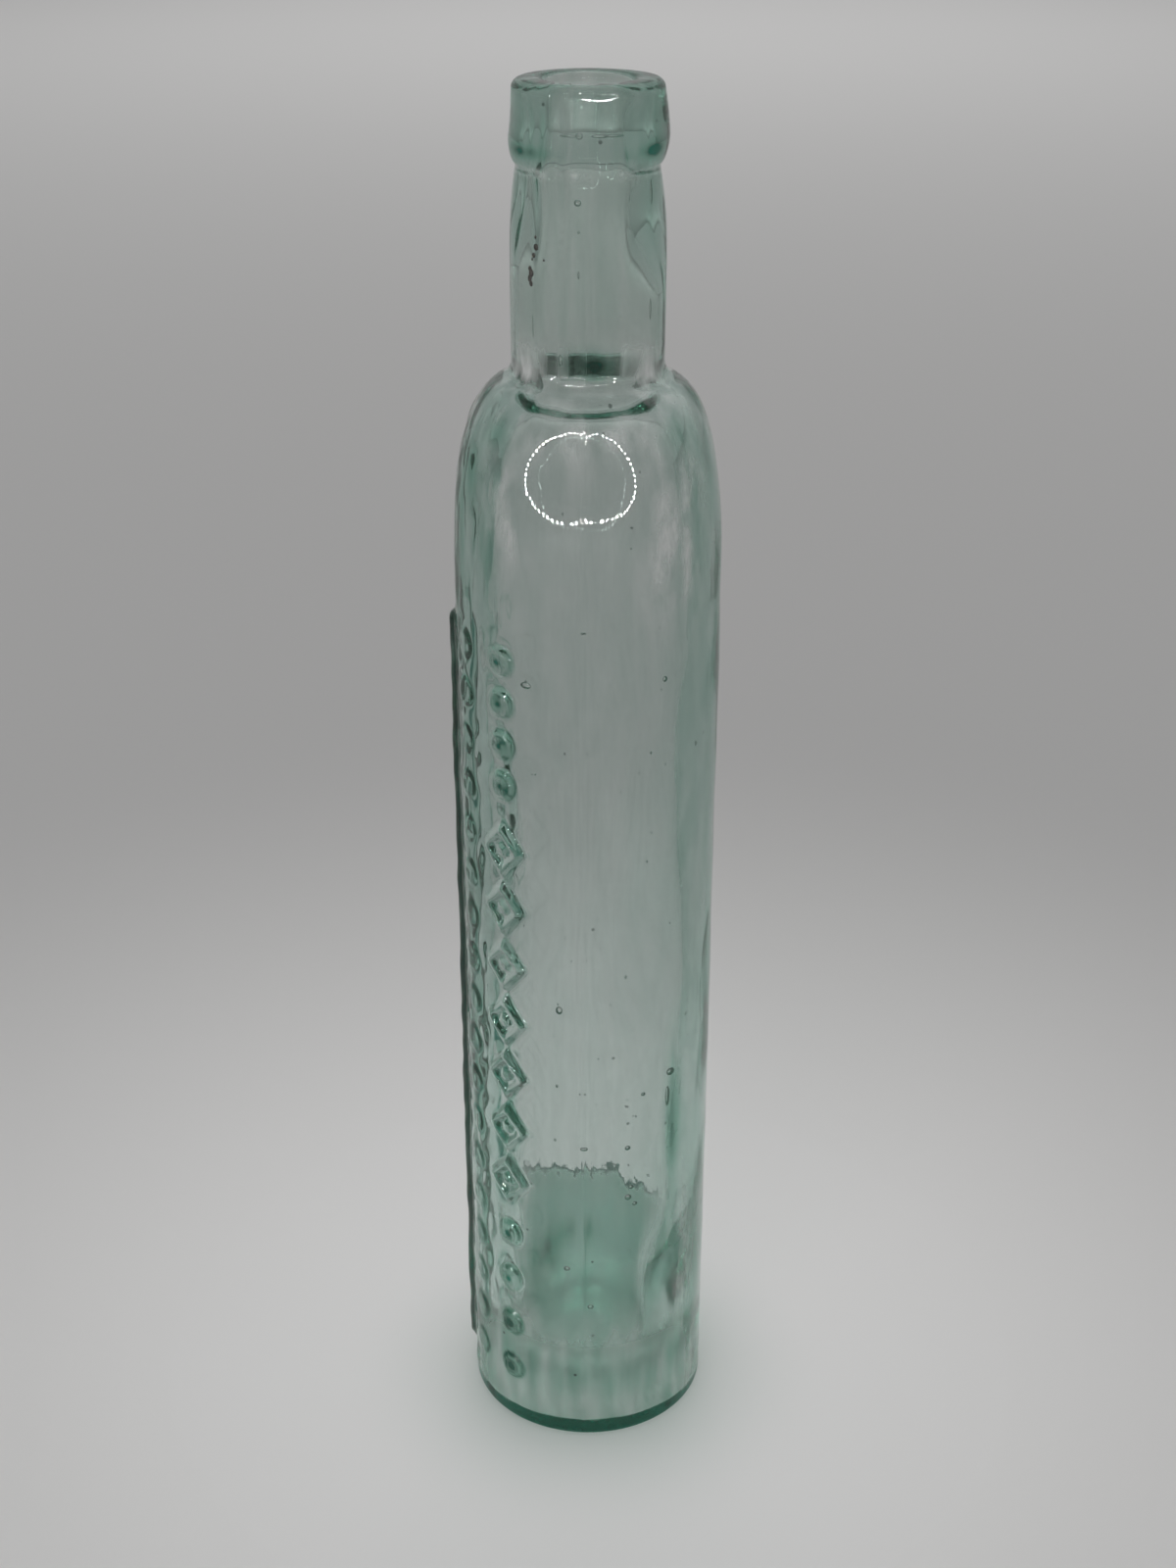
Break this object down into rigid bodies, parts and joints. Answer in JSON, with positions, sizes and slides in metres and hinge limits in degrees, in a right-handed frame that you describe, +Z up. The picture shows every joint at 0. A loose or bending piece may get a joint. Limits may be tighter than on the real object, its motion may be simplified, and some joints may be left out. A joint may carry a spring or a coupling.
{
  "type": "poison bottle",
  "caption": "Tall round mould-blown glass bottle with a studded relief down one side, a rounded shoulder, a straight neck and a laid-on bevelled lip round its open mouth.",
  "frame": {"origin": "centre of the base, on the plane that the bottle stands on", "axes": "+Z up along the bottle's axis, -Y to the front mould seam, -X out of the studded relief"},
  "size_m": [0.0423, 0.0414, 0.229],
  "materials": {
    "body_glass": "gloss, with seed bubbles, streaks and a greener heel",
    "lip_glass": "gloss, tooled"
  },
  "bodies": {
    "root": {"bottle_body": "body_glass", "applied_lip": "lip_glass"}
  },
  "joints": []
}
